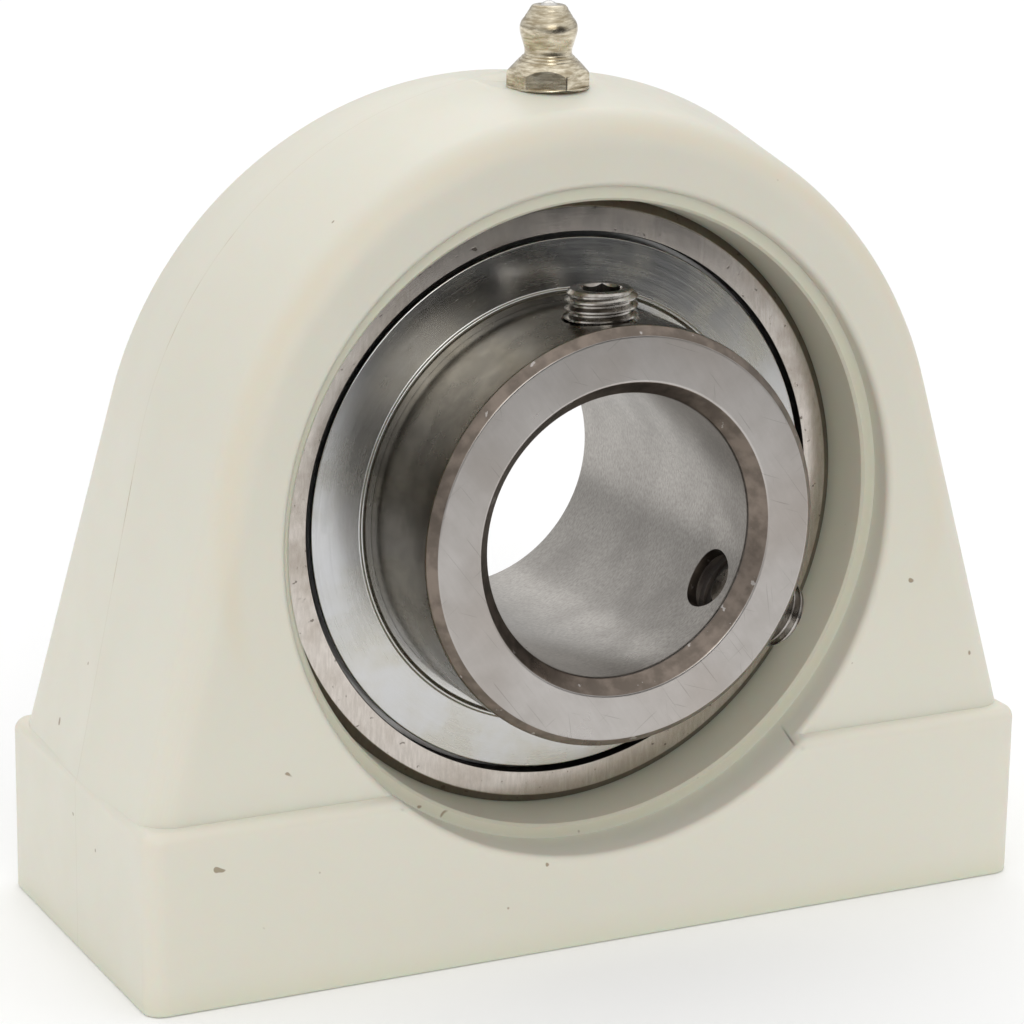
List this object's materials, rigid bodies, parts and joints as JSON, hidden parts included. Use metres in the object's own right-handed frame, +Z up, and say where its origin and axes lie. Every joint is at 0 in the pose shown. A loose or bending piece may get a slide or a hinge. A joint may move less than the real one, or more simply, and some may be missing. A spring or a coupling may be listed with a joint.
{
  "type": "pillow block bearing",
  "caption": "Tapped-base pillow block with a moulded ivory housing, a self-aligning set-screw insert bearing with flingers, and a grease nipple on top.",
  "frame": {"origin": "middle of the foot's underside", "axes": "+Z up, +X along the foot, +Y along the shaft, from the set-screw side to the short side"},
  "size_m": [0.1084, 0.0477, 0.1032],
  "materials": {
    "housing": "satin",
    "thread_insert": "turned",
    "nipple": "yellow-passivated zinc plate",
    "ball_steel": "lapped",
    "spring_steel": "drawn wire",
    "outer_ring": "ground",
    "inner_ring": "ground",
    "flinger": "pressed, bright zinc plate",
    "set_screw": "bright",
    "cage": "pressed sheet",
    "seal_carrier": "pressed sheet",
    "seal_lip": "matt"
  },
  "bodies": {
    "housing": {"housing": "housing", "threaded_insert_left": "thread_insert", "threaded_insert_right": "thread_insert", "grease_nipple_body": "nipple", "grease_nipple_spring": "spring_steel"},
    "outer_ring": {"outer_ring": "outer_ring", "front_seal_carrier": "seal_carrier", "rear_seal_carrier": "seal_carrier", "front_seal_lip": "seal_lip", "rear_seal_lip": "seal_lip"},
    "inner_ring": {"inner_ring": "inner_ring", "front_flinger": "flinger", "rear_flinger": "flinger"},
    "cage": {"cage_front_half": "cage", "cage_rear_half": "cage", "cage_rivets": "cage"},
    "ball_1": {"ball_1": "ball_steel"},
    "ball_2": {"ball_2": "ball_steel"},
    "ball_3": {"ball_3": "ball_steel"},
    "ball_4": {"ball_4": "ball_steel"},
    "ball_5": {"ball_5": "ball_steel"},
    "ball_6": {"ball_6": "ball_steel"},
    "ball_7": {"ball_7": "ball_steel"},
    "ball_8": {"ball_8": "ball_steel"},
    "ball_9": {"ball_9": "ball_steel"},
    "set_screw_top": {"set_screw_top": "set_screw"},
    "set_screw_side": {"set_screw_side": "set_screw"},
    "nipple_ball": {"grease_nipple_ball": "ball_steel"}
  },
  "joints": [
    {"name": "outer_ring_swivel", "type": "hinge", "parent": "housing", "child": "outer_ring", "pos_m": [0, 0, 0.0476], "axis": [1, 0, 0], "range_deg": [-5, 5]},
    {"name": "inner_ring_spin", "type": "hinge", "parent": "outer_ring", "child": "inner_ring", "pos_m": [0, 0, 0.0476], "axis": [0, 1, 0], "continuous": true},
    {"name": "cage_spin", "type": "hinge", "parent": "outer_ring", "child": "cage", "pos_m": [0, 0, 0.0476], "axis": [0, 1, 0], "continuous": true},
    {"name": "ball_1_spin", "type": "hinge", "parent": "cage", "child": "ball_1", "pos_m": [0, 0, 0.07435], "axis": [0, 1, 0], "continuous": true},
    {"name": "ball_2_spin", "type": "hinge", "parent": "cage", "child": "ball_2", "pos_m": [-0.01719, 0, 0.06809], "axis": [0, 1, 0], "continuous": true},
    {"name": "ball_3_spin", "type": "hinge", "parent": "cage", "child": "ball_3", "pos_m": [-0.02634, 0, 0.05225], "axis": [0, 1, 0], "continuous": true},
    {"name": "ball_4_spin", "type": "hinge", "parent": "cage", "child": "ball_4", "pos_m": [-0.02317, 0, 0.03422], "axis": [0, 1, 0], "continuous": true},
    {"name": "ball_5_spin", "type": "hinge", "parent": "cage", "child": "ball_5", "pos_m": [-0.00915, 0, 0.02246], "axis": [0, 1, 0], "continuous": true},
    {"name": "ball_6_spin", "type": "hinge", "parent": "cage", "child": "ball_6", "pos_m": [0.00915, 0, 0.02246], "axis": [0, 1, 0], "continuous": true},
    {"name": "ball_7_spin", "type": "hinge", "parent": "cage", "child": "ball_7", "pos_m": [0.02317, 0, 0.03422], "axis": [0, 1, 0], "continuous": true},
    {"name": "ball_8_spin", "type": "hinge", "parent": "cage", "child": "ball_8", "pos_m": [0.02634, 0, 0.05225], "axis": [0, 1, 0], "continuous": true},
    {"name": "ball_9_spin", "type": "hinge", "parent": "cage", "child": "ball_9", "pos_m": [0.01719, 0, 0.06809], "axis": [0, 1, 0], "continuous": true},
    {"name": "set_screw_top_travel", "type": "slide", "parent": "inner_ring", "child": "set_screw_top", "axis": [0.0175, 0, -0.9998], "range_m": [-0.0024, 0.0017]},
    {"name": "set_screw_side_travel", "type": "slide", "parent": "inner_ring", "child": "set_screw_side", "axis": [-0.8746, 0, 0.4848], "range_m": [-0.0018, 0.0023]},
    {"name": "grease_ball_travel", "type": "slide", "parent": "housing", "child": "nipple_ball", "axis": [0, 0, -1], "range_m": [0, 0.001], "stiffness_N_per_m": 200, "springref_m": -0.0008, "deforming": ["grease_nipple_spring"]}
  ],
  "couplings": [
    {"joint": "cage_spin", "follows": "inner_ring_spin", "ratio": 0.39615},
    {"joint": "ball_1_spin", "follows": "inner_ring_spin", "ratio": -2.3035},
    {"joint": "ball_2_spin", "follows": "inner_ring_spin", "ratio": -2.3035},
    {"joint": "ball_3_spin", "follows": "inner_ring_spin", "ratio": -2.3035},
    {"joint": "ball_4_spin", "follows": "inner_ring_spin", "ratio": -2.3035},
    {"joint": "ball_5_spin", "follows": "inner_ring_spin", "ratio": -2.3035},
    {"joint": "ball_6_spin", "follows": "inner_ring_spin", "ratio": -2.3035},
    {"joint": "ball_7_spin", "follows": "inner_ring_spin", "ratio": -2.3035},
    {"joint": "ball_8_spin", "follows": "inner_ring_spin", "ratio": -2.3035},
    {"joint": "ball_9_spin", "follows": "inner_ring_spin", "ratio": -2.3035}
  ]
}
